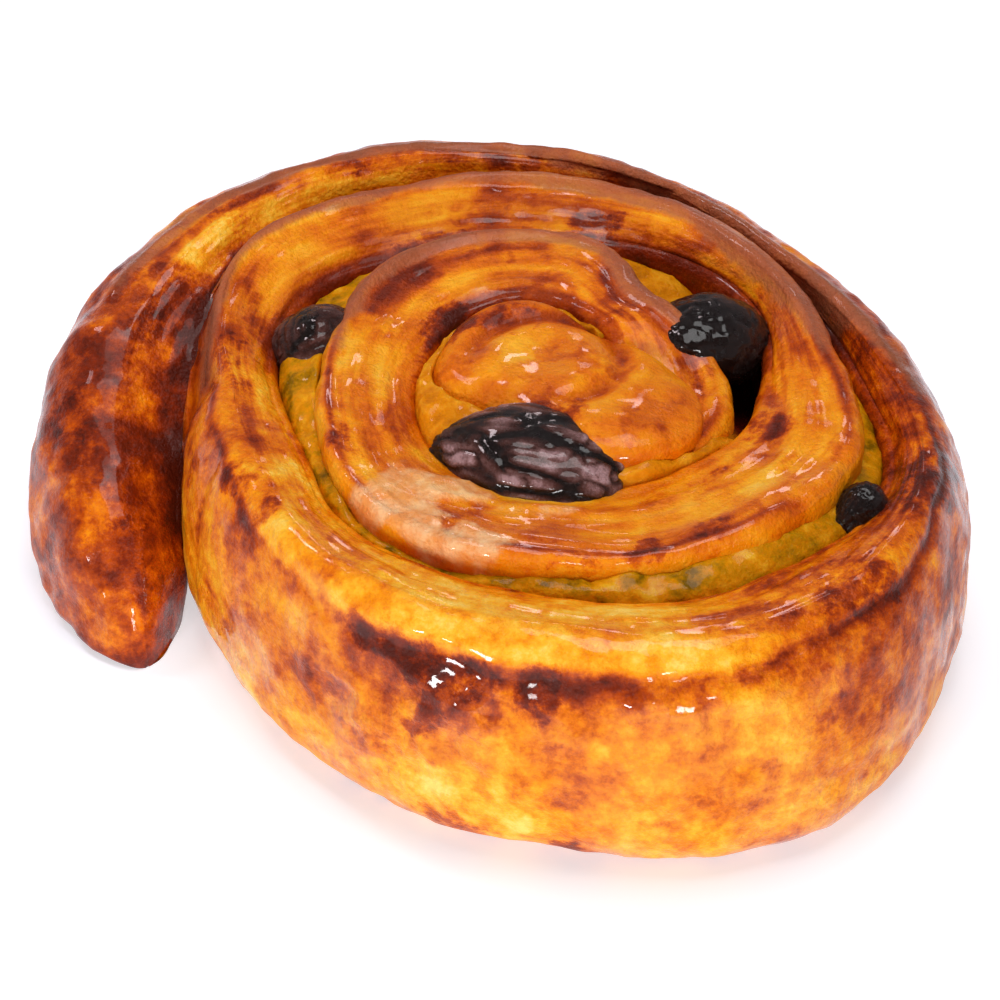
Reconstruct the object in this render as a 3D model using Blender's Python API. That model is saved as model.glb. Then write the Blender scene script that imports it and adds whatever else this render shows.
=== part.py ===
"""A pain aux raisins: one strip of laminated dough rolled up round custard and four raisins.

It lies on its flat base with the cut face up. Sizes are in millimetres and are scaled to metres where a
mesh or an object is made. A place along the roll is given in turns: 0 at the free tail, growing clockwise and inward
to the heart of the coil. Lists of radii and swells have twelve values for each turn, heights and widths eight.
"""

import math

import bmesh
import bpy
import numpy as np
from mathutils import Matrix, Vector

MM = 0.001
RADII_PER_TURN = 12
HEIGHTS_PER_TURN = 8

# The coil's middle and the direction that turn 0 points in
COIL_CENTRE = (2.5, -5.5)
TAIL_DIRECTION = math.radians(210)

# Distance from the coil's middle to the crease between turns, from the tail's cleft to the heart
CREASE_RADII = [
    32.3, 29.0, 28.9, 27.2, 25.4, 24.8, 24.7, 26.6, 32.0, 31.6, 28.6, 26.0,
    21.2, 19.5, 19.0, 16.9, 16.0, 16.4, 16.7, 18.2, 20.3, 18.6, 14.8, 12.5,
    10.3, 7.8, 6.9, 6.3, 5.7, 5.4, 5.6, 6.4,
]  # fmt: skip
# Width of that crease: it opens where custard and raisins show
CREASE_WIDTHS = [
    0.9, 1.8, 1.7, 1.7, 1.7, 2.2, 2.8, 2.0,
    1.8, 4.2, 1.8, 1.8, 4.6, 2.0, 3.2, 6.4,
    2.4, 1.8, 1.8, 1.8, 1.8, 1.8,
]  # fmt: skip
# Height of the dough's lip on the inner side of each turn, where it meets the crease
LIP_HEIGHTS = [
    3.0, 17.5, 19.6, 19.2, 19.0, 19.4, 19.9, 20.0,
    20.2, 19.8, 20.6, 20.6, 19.8, 20.2, 20.0, 19.6,
    20.0, 20.8, 21.2, 21.4, 21.4, 21.4, 21.0,
]  # fmt: skip
# Height of the browned ridge that runs near the outer side of each turn
RIDGE_HEIGHTS = [
    9.0, 19.6, 21.8, 20.9, 20.6, 21.4, 22.0, 22.0,
    22.0, 22.3, 22.8, 23.1, 23.1, 22.9, 22.6, 22.6,
    22.8, 23.3, 23.6, 23.8, 23.8, 23.6, 23.0,
]  # fmt: skip

# The outermost turn: how far out its ridge lies, and how far its round wall swells beyond the ridge
RIDGE_RADII = [37.0, 39.0, 36.0, 32.0, 28.8, 26.6, 26.0, 30.2, 38.7, 43.0, 38.8, 34.4, 29.2]
WALL_SWELLS = [3.6, 4.4, 5.2, 5.2, 5.0, 5.0, 5.2, 5.0, 2.9, 3.4, 2.3, 1.8, 3.1]
WALL_SHOULDER_DEPTH = 12.0
WALL_FOOT_HEIGHT = 8.0
WALL_FOOT_INSET = 4.0

# The inner turns: the same wall, squeezed flat against its neighbour
INNER_SWELL = 2.4
INNER_SHOULDER_DEPTH = 3.4
INNER_FOOT = 0.8
# Where the free wall turns into a squeezed one, in turns
SQUEEZE_START = 1.02
SQUEEZE_END = 1.18

# The ends of the strip
TAIL_TIP = 0.008
TAIL_ROUNDING = 0.045
STRIP_END = 2.775
END_ROUNDING = 0.02
END_MIDDLE = 0.35
STRIP_STEP = 6 / 360

# The heart: everything inside the crease's last turn
HEART_FIRST_TURN = 1.79
HEART_LAST_TURN = 2.55
HEART_CROWN = 24.2
HEART_POINTS = 36

# The web that joins the tail to the coil along the valley between them
WEB_START = 0.045
WEB_END = 0.165
WEB_OVERLAP = 0.9
WEB_DROP = 0.5

# Unevenness of the baked surface
SWELL_OF_WALL = 0.35
SWELL_OF_CROWN = 0.3

# The custard between the turns
FIT_GAP = 0.3
CUSTARD_START = 0.18
CUSTARD_END = 2.56
CUSTARD_STEP = 9 / 360
CUSTARD_BASE = 0.5
CUSTARD_BELOW_LIP = 0.6
HOLLOW_TURN = 1.555
HOLLOW_DEPTH = 4.0
HOLLOW_LENGTH = 0.05

# Raisins: turn and distance out from the crease, height of the middle, half sizes, and turns about the
# raisin's own x, y and z axes in degrees
RAISINS = {
    "raisin_left": dict(turn=1.125, out=0.4, height=18.6, half=(4.3, 3.3, 3.0), tilt=(8, -6, 35)),
    "raisin_back": dict(turn=1.535, out=-1.0, height=19.6, half=(5.6, 5.0, 4.8), tilt=(-30, 14, 60)),
    "raisin_front": dict(turn=1.835, out=-1.2, height=19.9, half=(8.3, 5.6, 3.5), tilt=(6, 10, -14)),
    "raisin_right": dict(turn=0.680, out=0.8, height=18.8, half=(2.7, 2.3, 3.0), tilt=(10, 0, 50)),
}
RAISIN_SEGMENTS = 16
RAISIN_RINGS = 10
RAISIN_FOLD = 0.11

COLOURS = {
    "dough": (0.66, 0.27, 0.05),
    "custard": (0.72, 0.55, 0.10),
    "raisin": (0.035, 0.016, 0.02),
}


def smooth(turns, knots, per_turn=HEIGHTS_PER_TURN):
    """A smooth curve through evenly spaced knots, held level beyond both ends."""
    knots = np.asarray(knots, float)
    place = np.clip(np.asarray(turns, float) * per_turn, 0, len(knots) - 1)
    index = np.minimum(place.astype(int), len(knots) - 2)
    part = place - index
    before = knots[np.maximum(index - 1, 0)]
    here = knots[index]
    after = knots[index + 1]
    beyond = knots[np.minimum(index + 2, len(knots) - 1)]
    bend = 2 * before - 5 * here + 4 * after - beyond
    turn = 3 * here - before - 3 * after + beyond
    return here + 0.5 * part * (after - before + part * (bend + part * turn))


def ease(value, start, end):
    """0 below start, 1 above end, and a smooth step between."""
    part = np.clip((np.asarray(value, float) - start) / (end - start), 0, 1)
    return part * part * (3 - 2 * part)


def crease(turns):
    return smooth(turns, CREASE_RADII, RADII_PER_TURN)


def crease_width(turns):
    return smooth(turns, CREASE_WIDTHS)


def outer_side(turns):
    """How far out the strip's outer wall lies at this turn."""
    free = smooth(turns, RIDGE_RADII, RADII_PER_TURN) + smooth(turns, WALL_SWELLS, RADII_PER_TURN)
    squeezed = crease(turns - 1) - crease_width(turns - 1) / 2
    return np.where(turns < 1, free, squeezed)


def uneven(turns, waves):
    """A slow wave along the strip, between -1 and 1, from a few sines that don't repeat together."""
    angle = 2 * np.pi * np.asarray(turns, float)
    return sum(np.sin(count * angle + phase) for count, phase in waves) / len(waves)


def place_at(turn, radius, height):
    """The point at this turn, distance from the coil's middle and height."""
    angle = TAIL_DIRECTION - 2 * np.pi * np.asarray(turn, float)
    x = COIL_CENTRE[0] + radius * np.cos(angle)
    y = COIL_CENTRE[1] + radius * np.sin(angle)
    return np.stack([x, y, np.broadcast_to(height, np.shape(x))], axis=-1)


def strip_section(turn):
    """Closed outline of the strip across its length, as (distance from the coil's middle, height)."""
    squeeze = float(ease(turn, SQUEEZE_START, SQUEEZE_END))
    top = float(smooth(turn, RIDGE_HEIGHTS)) + SWELL_OF_CROWN * float(uneven(turn, [(7, 0.4), (11, 2.0)]))
    lip = min(float(smooth(turn, LIP_HEIGHTS)), top - 1)
    outer = float(outer_side(turn))
    outer += SWELL_OF_WALL * float(uneven(turn, [(5, 1.0), (9, 0.2)])) * (turn < 1)
    inner = float(crease(turn) + crease_width(turn) / 2)
    swell = float(smooth(turn, WALL_SWELLS, RADII_PER_TURN)) * (1 - squeeze) + INNER_SWELL * squeeze
    depth = min(WALL_SHOULDER_DEPTH, 0.6 * top) * (1 - squeeze) + INNER_SHOULDER_DEPTH * squeeze
    foot = min(WALL_FOOT_HEIGHT, 0.35 * top) * (1 - squeeze) + INNER_FOOT * squeeze
    inset = min(WALL_FOOT_INSET, 0.4 * (outer - inner)) * (1 - squeeze) + INNER_FOOT * squeeze
    ridge = outer - swell
    points = []
    # The round shoulder, from the ridge out and down to the wall
    for part in np.linspace(0, np.pi / 2, 7):
        points.append((ridge + swell * np.sin(part) ** (2 / 3), top - depth + depth * np.cos(part) ** (2 / 3)))
    # The foot, rounded in under the wall
    for part in np.linspace(0, np.pi / 2, 5):
        points.append((outer - inset * (1 - np.cos(part)), foot * (1 - np.sin(part))))
    # The flat base and the inner wall
    points.append(((outer - inset + inner + INNER_FOOT) / 2, 0))
    points.append((inner + INNER_FOOT, 0))
    points.append((inner, INNER_FOOT))
    points.append((inner, lip * 0.55))
    # The lip, and the cut face that rises from it to the ridge
    points.append((inner, lip - 1.2))
    points.append((inner + 0.35, lip - 0.35))
    for part in (0.9, 0.72, 0.5, 0.28, 0.1):
        drop = 0.6 * part + 0.4 * part**4
        points.append((ridge + (inner + 0.6 - ridge) * part, top - (top - lip) * drop))
    return points


def end_rounding(turn):
    """How much of its full size the section has, near the strip's two ends."""
    tail = np.clip((turn - TAIL_TIP) / TAIL_ROUNDING, 0, 1)
    last = np.clip((STRIP_END - turn) / END_ROUNDING, 0, 1)
    return math.sqrt(1 - (1 - min(tail, last)) ** 2)


def loft(name, rings):
    """A closed body through rings of points, each in millimetres, with its ends capped."""
    mesh = bmesh.new()
    rows = [[mesh.verts.new(Vector(point) * MM) for point in ring] for ring in rings]
    for lower, upper in zip(rows, rows[1:]):
        for index in range(len(lower)):
            after = (index + 1) % len(lower)
            mesh.faces.new((lower[index], lower[after], upper[after], upper[index]))
    mesh.faces.new(reversed(rows[0]))
    mesh.faces.new(rows[-1])
    bmesh.ops.recalc_face_normals(mesh, faces=mesh.faces)
    return new_object(name, mesh)


def new_object(name, mesh):
    data = bpy.data.meshes.new(name)
    mesh.to_mesh(data)
    mesh.free()
    data.shade_smooth()
    return bpy.data.objects.new(name, data)


def build_strip():
    """The rolled strip, from the tip of its tail to its inner end."""
    rings = []
    for turn in np.arange(TAIL_TIP + 0.001, STRIP_END, STRIP_STEP):
        section = np.array(strip_section(turn))
        inner, outer = section[:, 0].min(), section[:, 0].max()
        middle = np.array([inner + END_MIDDLE * (outer - inner), 0])
        section = middle + (section - middle) * end_rounding(turn)
        rings.append([place_at(turn, radius, height) for radius, height in section])
    return loft("dough", rings)


def heart_outline():
    """Distance from the coil's middle to the heart's side, once round, as (turn, radius) pairs."""
    turns = np.linspace(HEART_FIRST_TURN, HEART_FIRST_TURN + 1, HEART_POINTS, endpoint=False)
    side = crease(turns) - crease_width(turns) / 2
    last = float(crease(HEART_LAST_TURN) - crease_width(HEART_LAST_TURN) / 2)
    first = float(side[0])
    blend = ease(turns, HEART_LAST_TURN, HEART_FIRST_TURN + 1)
    return turns, np.where(turns > HEART_LAST_TURN, last + (first - last) * blend, side)


def build_heart():
    """The domed lump at the middle of the coil, where the strip ends."""
    turns, radii = heart_outline()
    lip = smooth(turns, LIP_HEIGHTS)
    rings = []
    for share, height in ((0.06, 0), (0.92, 0), (1.0, INNER_FOOT)):
        rings.append(place_at(turns, radii * share, height))
    for share, rise in ((1.0, 0.0), (0.95, 0.35), (0.84, 0.7), (0.62, 0.92), (0.34, 1.0), (0.06, 1.0)):
        height = lip + (HEART_CROWN - lip) * rise
        if share == 1.0:
            height = lip - 0.6
        ring = place_at(turns, radii * share, 0)
        ring[:, 2] = height
        rings.append(ring)
    return loft("heart", [list(map(tuple, ring)) for ring in rings])


def build_web():
    """The dough that closes the valley between the tail and the coil."""
    rings = []
    for turn in np.linspace(WEB_START, WEB_END, 8):
        half = float(crease_width(turn)) / 2 + WEB_OVERLAP
        top = float(smooth(turn, LIP_HEIGHTS)) - WEB_DROP
        middle = float(crease(turn))
        section = [(-half, 0.6), (half, 0.6), (half, top), (0, top - 0.5), (-half, top)]
        rings.append([tuple(place_at(turn, middle + out, height)) for out, height in section])
    return loft("web", rings)


def build_custard():
    """The strip of custard that fills the crease from top to bottom."""
    rings = []
    for turn in np.arange(CUSTARD_START, CUSTARD_END, CUSTARD_STEP):
        half = float(crease_width(turn)) / 2 - FIT_GAP
        middle = float(crease(turn))
        top = float(smooth(turn, LIP_HEIGHTS)) - CUSTARD_BELOW_LIP
        top -= HOLLOW_DEPTH * math.exp(-(((turn - HOLLOW_TURN) / HOLLOW_LENGTH) ** 2))
        section = [(-half, CUSTARD_BASE), (half, CUSTARD_BASE), (half, top - 0.7), (half * 0.6, top)]
        section += [(-half * 0.6, top), (-half, top - 0.7)]
        rings.append([tuple(place_at(turn, middle + out, height)) for out, height in section])
    return loft("custard", rings)


def build_raisin(name, turn, out, height, half, tilt, grow=0.0):
    """A dried grape: an egg pulled in by a few folds, grown by a margin when it cuts a pocket."""
    mesh = bmesh.new()
    bmesh.ops.create_uvsphere(mesh, u_segments=RAISIN_SEGMENTS, v_segments=RAISIN_RINGS, radius=1)
    for vertex in mesh.verts:
        x, y, z = vertex.co
        around = math.atan2(y, x)
        flat = math.hypot(x, y)
        fold = 1 + RAISIN_FOLD * flat * math.sin(3 * around + 2 * z) * math.cos(2 * z)
        fold -= RAISIN_FOLD * 0.6 * flat * math.cos(5 * around - 1.5 * z)
        vertex.co = Vector(((half[0] + grow) * x * fold, (half[1] + grow) * y * fold, (half[2] + grow) * z))
    mesh.transform(Matrix.Scale(MM, 4))
    raisin = new_object(name, mesh)
    raisin.location = Vector(place_at(turn, float(crease(turn)) + out, height)) * MM
    raisin.rotation_euler = [math.radians(angle) for angle in tilt]
    return raisin


def material(name):
    made = bpy.data.materials.new(name)
    made.use_nodes = True
    shader = made.node_tree.nodes["Principled BSDF"]
    shader.inputs["Base Color"].default_value = (*COLOURS[name], 1)
    shader.inputs["Roughness"].default_value = 0.35
    return made


def dress(objects, made):
    for item in objects:
        item.data.materials.clear()
        item.data.materials.append(made)


def combine(target, pieces, operation):
    """Applies one Boolean of the collection's objects to the target."""
    modifier = target.modifiers.new(operation.lower(), "BOOLEAN")
    modifier.operation = operation
    modifier.operand_type = "COLLECTION"
    modifier.collection = pieces
    modifier.solver = "EXACT"
    bpy.context.view_layer.update()
    graph = bpy.context.evaluated_depsgraph_get()
    result = bpy.data.meshes.new_from_object(target.evaluated_get(graph))
    target.modifiers.remove(modifier)
    target.data = result


def new_collection(name, hidden=False):
    made = bpy.data.collections.new(name)
    bpy.context.scene.collection.children.link(made)
    made.hide_render = hidden
    return made


def rest_on_origin(objects):
    """Parents the pieces to an empty, placed so that the middle of the base of their box is the origin."""
    bpy.context.view_layer.update()
    corners = np.array([item.matrix_world @ vertex.co for item in objects for vertex in item.data.vertices])
    low, high = corners.min(axis=0), corners.max(axis=0)
    rest = bpy.data.objects.new("rest", None)
    bpy.context.scene.collection.objects.link(rest)
    rest.location = (-(low[0] + high[0]) / 2, -(low[1] + high[1]) / 2, -low[2])
    for item in objects:
        item.parent = rest
    return rest


def main():
    for item in list(bpy.data.objects):
        bpy.data.objects.remove(item)
    pastry = new_collection("pain_aux_raisins")
    joined = new_collection("joined", hidden=True)
    cutters = new_collection("cutters", hidden=True)

    dough = build_strip()
    pastry.objects.link(dough)
    for piece in (build_heart(), build_web()):
        joined.objects.link(piece)
    combine(dough, joined, "UNION")
    for piece in list(joined.objects):
        bpy.data.objects.remove(piece)
    bpy.data.collections.remove(joined)

    for name, sizes in RAISINS.items():
        cutter = build_raisin("pocket_for_" + name, grow=FIT_GAP, **sizes)
        cutter.hide_render = True
        cutter.display_type = "WIRE"
        cutters.objects.link(cutter)
    custard = build_custard()
    pastry.objects.link(custard)
    for body in (dough, custard):
        combine(body, cutters, "DIFFERENCE")

    raisins = [build_raisin(name, **sizes) for name, sizes in RAISINS.items()]
    for raisin in raisins:
        pastry.objects.link(raisin)
    dress([dough], material("dough"))
    dress([custard], material("custard"))
    dress(raisins, material("raisin"))
    rest = rest_on_origin([dough, custard, *raisins])
    for cutter in cutters.objects:
        cutter.parent = rest


main()
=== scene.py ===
# %% [markdown]
# # A pain aux raisins
# A pain aux raisins is a strip of laminated dough, spread with custard and raisins, rolled up and cut into
# slices. A slice bakes lying on its side, so its cut face is on top, and it is glazed while it is hot.
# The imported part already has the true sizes, but only a few thousand flat facets. This lesson lays a fine
# skin over each of its solids: the same curves, worked out on a much denser grid, with the blisters,
# folds and browning that heat and egg wash give.

import math
from types import SimpleNamespace

import bpy
import numpy as np
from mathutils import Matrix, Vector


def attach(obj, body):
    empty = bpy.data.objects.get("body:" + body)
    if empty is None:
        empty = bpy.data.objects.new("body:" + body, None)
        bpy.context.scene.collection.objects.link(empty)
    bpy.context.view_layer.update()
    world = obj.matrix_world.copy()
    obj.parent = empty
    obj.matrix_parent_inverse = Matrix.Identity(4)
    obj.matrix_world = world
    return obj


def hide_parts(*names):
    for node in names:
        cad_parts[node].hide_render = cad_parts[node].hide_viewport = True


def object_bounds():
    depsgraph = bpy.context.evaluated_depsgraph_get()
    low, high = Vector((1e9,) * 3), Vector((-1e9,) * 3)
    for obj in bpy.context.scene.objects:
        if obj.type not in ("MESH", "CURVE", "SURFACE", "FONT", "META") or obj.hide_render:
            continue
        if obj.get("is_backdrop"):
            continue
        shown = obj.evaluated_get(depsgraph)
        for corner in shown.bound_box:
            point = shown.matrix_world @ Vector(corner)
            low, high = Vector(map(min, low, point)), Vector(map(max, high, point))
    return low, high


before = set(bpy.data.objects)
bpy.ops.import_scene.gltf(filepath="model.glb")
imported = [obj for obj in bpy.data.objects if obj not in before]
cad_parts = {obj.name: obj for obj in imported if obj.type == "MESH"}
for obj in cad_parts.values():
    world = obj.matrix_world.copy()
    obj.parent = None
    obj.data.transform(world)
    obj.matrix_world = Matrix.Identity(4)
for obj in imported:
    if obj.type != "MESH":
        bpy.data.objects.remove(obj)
CAD_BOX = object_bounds()
print("box of the packed part, in metres:", [np.round(corner, 4).tolist() for corner in CAD_BOX])

# %% [markdown]
# ## The camera
# The picture is taken from 40 degrees above the table with a long lens, so the slice shows its top and its
# front wall. A short lens close by would swell the front and shrink the back. The camera comes first,
# because every later choice is judged through it.

# %% The camera
MM = 0.001
CAMERA_PLACE = (0.000495, -0.281023, 0.244259)
CAMERA_TILT = math.radians(50)
LENS = 152.34
SENSOR_WIDTH = 36

camera_data = bpy.data.cameras.new("camera")
camera_data.lens = LENS
camera_data.sensor_width = SENSOR_WIDTH
camera_data.clip_start = 0.01
camera = bpy.data.objects.new("camera", camera_data)
camera.location = CAMERA_PLACE
camera.rotation_euler = (CAMERA_TILT, 0, 0)
bpy.context.scene.collection.objects.link(camera)
bpy.context.scene.camera = camera
print("camera stands", round(math.dist(CAMERA_PLACE, (0, 0, 0)), 3), "m from the middle of the base")

# %% [markdown]
# ## The lamps
# A glazed crust is a curved mirror, so the lamps are chosen by what they draw on it. One very large lamp
# would be softer, but would lay a grey veil over the orange. So there are five small ones: a wide one
# overhead lights the dough, the window and the low one behind leave a rosy sheen on the flat tops, and the
# hard ones in front and at the side make the white glints on the wall and the tail.

# %% Lamps
LAMPS = {
    # place and side of the square in metres, power in watts, colour
    "lamp_above": ((0.05, 0.02, 0.60), 0.32, 2.0, (1, 1, 1)),
    "lamp_window": ((-0.26, 0.20, 0.44), 0.09, 0.6, (1.0, 0.84, 0.88)),
    "lamp_behind": ((0.06, 0.55, 0.38), 0.08, 0.22, (1.0, 0.84, 0.86)),
    "lamp_front": ((0.05, -0.52, 0.10), 0.09, 1.1, (1, 1, 1)),
    "lamp_side": ((-0.27, -0.40, 0.13), 0.05, 0.5, (1, 1, 1)),
}


def lamp(name, place, side, power, colour):
    """A square area lamp, turned from its place towards the middle of the base."""
    data = bpy.data.lights.new(name, "AREA")
    data.shape = "SQUARE"
    data.size = side
    data.energy = power
    data.color = colour
    made = bpy.data.objects.new(name, data)
    made.location = place
    x, y, z = place
    made.rotation_euler = (math.acos(z / math.hypot(x, y, z)), 0, math.atan2(x, -y))
    bpy.context.scene.collection.objects.link(made)


for name, settings in LAMPS.items():
    lamp(name, *settings)
print("lamps:", ", ".join(LAMPS))

# %% [markdown]
# ## The table
# The slice lies on a pale, plain table. A single large square is enough: nothing of its edges is seen, and
# its finish is made near the end with the others.

# %% The table
FLOOR_SIZE = 3.0


def plain_floor():
    """A square of pale table, level with the base of the slice."""
    half = FLOOR_SIZE / 2
    corners = [(-half, -half, 0), (half, -half, 0), (half, half, 0), (-half, half, 0)]
    mesh = bpy.data.meshes.new("floor")
    mesh.from_pydata(corners, [], [(0, 1, 2, 3)])
    made = bpy.data.objects.new("floor", mesh)
    bpy.context.scene.collection.objects.link(made)
    made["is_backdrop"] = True
    return made


floor = plain_floor()
print("the table is", FLOOR_SIZE, "m wide")

# %% [markdown]
# ## Curves that wind with the roll
# Every form here winds clockwise from the free tail to the heart. A Bezier curve with a bevel could carry a
# strip along a spiral, but its section couldn't change freely on the way. So one number, the turn, says how
# far along the roll a place is: 0 at the tail, 1 after one turn inward. A few named values for each turn
# say how the roll differs from a perfect spiral, and a smooth curve through them gives the rest.

# %% Smooth curves and steps
RADII_PER_TURN = 12
HEIGHTS_PER_TURN = 8
COIL_MIDDLE = (2.995, 4.573)
TAIL_DIRECTION = math.radians(210)


def curve(turns, knots, per_turn=HEIGHTS_PER_TURN):
    """A cubic through evenly spaced knots, whose slope at a knot is half the step between its neighbours."""
    knots = np.asarray(knots, float)
    place = np.clip(np.asarray(turns, float) * per_turn, 0, len(knots) - 1)
    index = np.minimum(place.astype(int), len(knots) - 2)
    part = place - index
    before = knots[np.maximum(index - 1, 0)]
    here = knots[index]
    after = knots[index + 1]
    beyond = knots[np.minimum(index + 2, len(knots) - 1)]
    bend = 2 * before - 5 * here + 4 * after - beyond
    turn = 3 * here - before - 3 * after + beyond
    return here + 0.5 * part * (after - before + part * (bend + part * turn))


def ease(value, start, end):
    """0 before start, 1 after end, and 3p^2 - 2p^3 between them."""
    part = np.clip((np.asarray(value, float) - start) / (end - start), 0, 1)
    return part * part * (3 - 2 * part)


def bump(value, middle, width):
    """A bell, e^-(d^2): 1 at the middle, about a third at one width away from it."""
    return np.exp(-(((value - middle) / width) ** 2))


def wind(turns, radius, height):
    """The points at these turns, distances from the coil's middle and heights, all in millimetres."""
    angle = TAIL_DIRECTION - 2 * np.pi * turns
    x = COIL_MIDDLE[0] + radius * np.cos(angle)
    y = COIL_MIDDLE[1] + radius * np.sin(angle)
    return np.stack(np.broadcast_arrays(x, y, height), axis=-1)


print("half way up a step from 0 to 1:", float(ease(0.5, 0, 1)))

# %% [markdown]
# ## Unevenness
# Nothing baked is regular. Blender's own noise only reaches a mesh through a modifier or a material, so this
# is a noise of our own: random heights on a cubic lattice, blended smoothly between its corners. The same
# lattice is read at several sizes: large for swelling, small for blisters.

# %% Lumps
LATTICE = 32
LATTICE_SHIFT = 5.37
HEIGHTS = np.random.default_rng(11).uniform(-1, 1, (LATTICE, LATTICE, LATTICE))


def lumps(points, size, shift=0.0):
    """Between -1 and 1: lattice heights around each point, weighted by smooth steps along x, y and z."""
    place = np.asarray(points) / size + LATTICE_SHIFT + shift
    cell = np.floor(place).astype(int)
    part = place - cell
    part = part * part * (3 - 2 * part)
    total = 0.0
    for corner in np.ndindex(2, 2, 2):
        at = (cell + corner) % LATTICE
        weight = np.prod(np.where(corner, part, 1 - part), axis=-1)
        total = total + weight * HEIGHTS[at[..., 0], at[..., 1], at[..., 2]]
    return total


def folds(points, size, shift=0.0):
    """Between 0 and 1: thin crests where the lumps change sign, (1 - |lumps|)^4."""
    return (1 - np.abs(lumps(points, size, shift))) ** 4


print("random heights:", HEIGHTS.size)

# %% [markdown]
# ## From a grid of points to a closed skin
# A shape is a table of points: rows along it, columns round it. Its faces follow from the table alone, and
# each open end is closed by a fan to the middle of its last row. Blender could recalculate which way the
# faces look, but the sign of the volume already tells: where it is negative, the corners are turned round.

# %% Skins
TINY = 1e-9


def grid_normals(grid):
    """Unit normals of a grid that closes across its columns: the cross product of its two slopes."""
    around = np.roll(grid, -1, axis=1) - np.roll(grid, 1, axis=1)
    along = np.gradient(grid, axis=0)
    normal = np.cross(along, around)
    return normal / np.maximum(np.linalg.norm(normal, axis=-1, keepdims=True), TINY)


def grid_faces(rows, columns):
    """Quads between neighbouring rows, and a fan of triangles from each end row to its middle point."""
    count = rows * columns
    here = np.arange(count).reshape(rows, columns)
    beside = np.roll(here, -1, axis=1)
    quads = np.stack([here[:-1], beside[:-1], beside[1:], here[1:]], axis=-1).reshape(-1, 4)
    first = np.stack([beside[0], here[0], np.full(columns, count)], axis=-1)
    last = np.stack([here[-1], beside[-1], np.full(columns, count + 1)], axis=-1)
    return quads, np.vstack([first, last])


def skin(name, grid, **fields):
    """A closed mesh on a grid in millimetres. Each field is a number for each grid point."""
    rows, columns = grid.shape[:2]
    points = np.vstack([grid.reshape(-1, 3), grid[0].mean(axis=0), grid[-1].mean(axis=0)])
    quads, fans = grid_faces(rows, columns)
    halves = np.vstack([quads[:, [0, 1, 2]], quads[:, [0, 2, 3]], fans])
    a, b, c = (points[halves[:, corner]] for corner in range(3))
    volume = np.einsum("ij,ij->", a, np.cross(b, c)) / 6
    if volume < 0:
        quads, fans = quads[:, ::-1], fans[:, ::-1]
    mesh = bpy.data.meshes.new(name)
    mesh.from_pydata(points * MM, [], quads.tolist() + fans.tolist())
    for field, values in fields.items():
        values = np.broadcast_to(values, (rows, columns))
        ends = [values[0].mean(), values[-1].mean()]
        layer = mesh.attributes.new(field, "FLOAT", "POINT")
        layer.data.foreach_set("value", np.concatenate([values.ravel(), ends]).astype(np.float32))
    mesh.shade_smooth()
    made = bpy.data.objects.new(name, mesh)
    bpy.context.scene.collection.objects.link(made)
    print(f"{name}: {2 * len(quads) + len(fans)} triangles, {abs(volume) / 1000:.1f} cm3")
    return made


def steps_along(points):
    """The length of the path through the points, from its start to each of them."""
    return np.concatenate([[0], np.cumsum(np.linalg.norm(np.diff(points, axis=0), axis=1))])


print("a grid of 3 by 4 points has", sum(map(len, grid_faces(3, 4))), "faces")

# %% [markdown]
# ## The roll's measurements
# The crease is the gap between one turn and the next, where the filling lies. Outside it comes the lip of
# the outer turn, inside it the wall of the inner one. From its lip the cut face climbs outward to a browned
# ridge, and the wall falls away behind it. The lists give these for every twelfth or eighth of a turn.

# %% Radii, widths and heights in millimetres
CREASE_RADII = [
    32.3, 29.0, 28.9, 27.2, 25.4, 24.8, 24.7, 26.6, 32.0, 31.6, 28.6, 26.0,
    21.2, 19.5, 19.0, 16.9, 16.0, 16.2, 16.1, 17.8, 19.5, 18.4, 14.8, 12.5,
    10.3, 7.8, 6.9, 6.3, 5.7, 5.4, 5.6, 6.4,
]  # fmt: skip
CREASE_GAPS = [
    0.4, 0.4, 0.4, 0.4, 0.5, 1.6, 2.8, 0.8,
    1.6, 4.2, 0.6, 1.0, 8.4, 2.4, 0.8, 6.2,
    1.6, 0.5, 0.5, 0.5, 0.5, 0.5,
]  # fmt: skip
LIP_HEIGHTS = [
    3.0, 17.5, 19.6, 19.2, 19.0, 19.4, 19.9, 20.0,
    20.2, 19.8, 20.6, 20.6, 19.8, 20.4, 20.6, 20.4,
    20.8, 21.4, 21.8, 22.2, 22.6, 23.0, 23.0,
]  # fmt: skip
RIDGE_HEIGHTS = [
    9.0, 19.6, 22.2, 21.8, 21.4, 21.8, 22.0, 22.0,
    22.0, 22.2, 22.3, 22.4, 22.4, 22.2, 22.0, 22.0,
    22.3, 22.9, 23.1, 23.2, 23.2, 23.2, 23.0,
]  # fmt: skip
RIDGE_RADII = [37.0, 39.0, 36.0, 32.0, 28.8, 26.6, 26.0, 30.2, 38.7, 43.0, 38.8, 34.4, 29.2]
WALL_SWELLS = [3.6, 4.4, 5.2, 5.2, 5.0, 5.0, 5.2, 5.0, 2.9, 3.4, 2.3, 1.8, 3.1]
JOIN_OVERLAP = 1.2


def crease(turns):
    """How far the middle of the crease is from the coil's middle."""
    return curve(turns, CREASE_RADII, RADII_PER_TURN)


def gap(turns):
    """How wide the crease gapes."""
    return curve(turns, CREASE_GAPS)


def joined(turns):
    """1 where the coil and the tail in front of it are one dough, easing to 0 at both ends of it."""
    return ease(turns, 1.050, 1.085) * (1 - ease(turns, 1.15, 1.25))


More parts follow.
